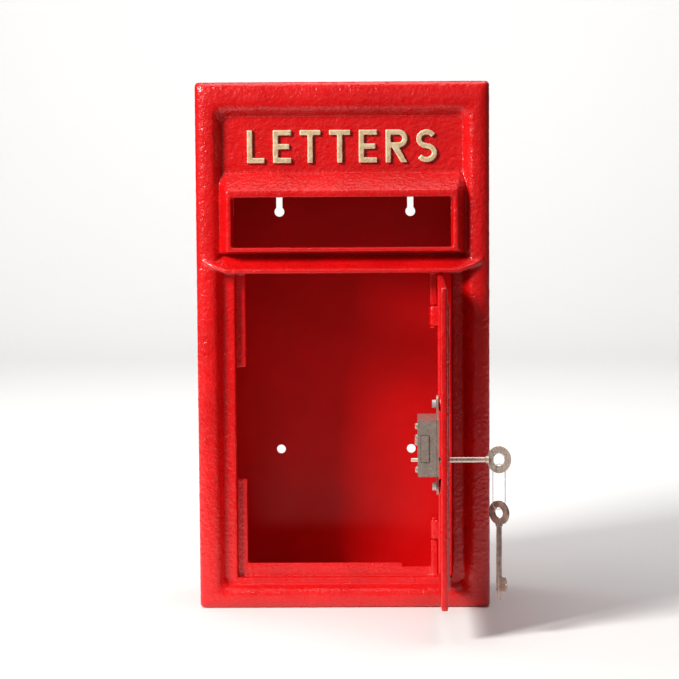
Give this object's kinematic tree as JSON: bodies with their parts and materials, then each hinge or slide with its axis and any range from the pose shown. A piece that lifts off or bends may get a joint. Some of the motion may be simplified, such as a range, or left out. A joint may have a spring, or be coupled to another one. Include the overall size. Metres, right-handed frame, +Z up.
{
  "type": "wall mounted mailbox",
  "caption": "Wall mounted letter box with a cast front, hooded posting slot, hinged lockable door and folded steel back box.",
  "frame": {"origin": "centre of the steel box's rear face, which lies on the wall", "axes": "+X to the right, +Y into the wall, +Z up; the front faces -Y"},
  "size_m": [0.3359, 0.3518, 0.578],
  "materials": {
    "red_enamel": "gloss enamel over an as-cast skin",
    "red_sheet": "gloss enamel on sheet steel",
    "nickel_plate": "bright nickel plate",
    "key_nickel": "nickel plate",
    "zinc_steel": "zinc plate",
    "brass": "plain",
    "spring_steel": "bright wire"
  },
  "bodies": {
    "cabinet": {"front_casting": "red_enamel", "back_box": "red_sheet", "box_screw_1": "zinc_steel", "box_screw_2": "zinc_steel", "box_screw_3": "zinc_steel", "box_screw_4": "zinc_steel", "box_screw_5": "zinc_steel", "box_screw_6": "zinc_steel", "hinge_pin_upper": "red_enamel", "hinge_pin_lower": "red_enamel"},
    "door": {"door_casting": "red_enamel", "lock_case": "nickel_plate", "lock_cover": "nickel_plate", "bolt_guide_post": "nickel_plate", "lever_post": "nickel_plate", "case_rivet_upper": "nickel_plate", "case_rivet_lower": "nickel_plate", "lock_screw_upper": "zinc_steel", "lock_screw_lower": "zinc_steel"},
    "bolt": {"lock_bolt": "nickel_plate"},
    "lever_1": {"lever_1": "brass", "lever_spring_1": "spring_steel"},
    "lever_2": {"lever_2": "brass", "lever_spring_2": "spring_steel"},
    "lever_3": {"lever_3": "brass", "lever_spring_3": "spring_steel"},
    "key": {"key": "key_nickel"},
    "key_ring": {"key_ring": "spring_steel"},
    "spare_key": {"spare_key": "key_nickel"}
  },
  "joints": [
    {"name": "door_swing", "type": "hinge", "parent": "cabinet", "child": "door", "pos_m": [0.0993, -0.1355, 0], "axis": [0, 0, 1], "range_deg": [-90, 22]},
    {"name": "key_turn", "type": "hinge", "parent": "door", "child": "key", "pos_m": [0.1634, -0.3178, -0.102], "axis": [1, 0, 0], "range_deg": [0, 360]},
    {"name": "bolt_slide", "type": "slide", "parent": "door", "child": "bolt", "axis": [0, -1, 0], "range_m": [0, 0.014]},
    {"name": "lever_1_lift", "type": "hinge", "parent": "door", "child": "lever_1", "pos_m": [0.098, -0.2958, -0.0865], "axis": [-1, 0, 0], "range_deg": [0, 3.5], "stiffness_Nm_per_rad": 0.02, "springref_deg": -2.86},
    {"name": "lever_2_lift", "type": "hinge", "parent": "door", "child": "lever_2", "pos_m": [0.098, -0.2958, -0.0865], "axis": [-1, 0, 0], "range_deg": [0, 3.5], "stiffness_Nm_per_rad": 0.02, "springref_deg": -2.86},
    {"name": "lever_3_lift", "type": "hinge", "parent": "door", "child": "lever_3", "pos_m": [0.098, -0.2958, -0.0865], "axis": [-1, 0, 0], "range_deg": [0, 3.5], "stiffness_Nm_per_rad": 0.02, "springref_deg": -2.86},
    {"name": "ring_swing", "type": "hinge", "parent": "key", "child": "key_ring", "pos_m": [0.1634, -0.3178, -0.102], "axis": [0, 1, 0], "range_deg": [-25, 10]},
    {"name": "spare_swing", "type": "hinge", "parent": "key_ring", "child": "spare_key", "pos_m": [0.1634, -0.3178, -0.15395], "axis": [0.7431, 0.6691, 0], "range_deg": [-35, 12]}
  ],
  "couplings": [
    {"joint": "bolt_slide", "follows": "key_turn", "m_per_rad": 0.0022282}
  ]
}
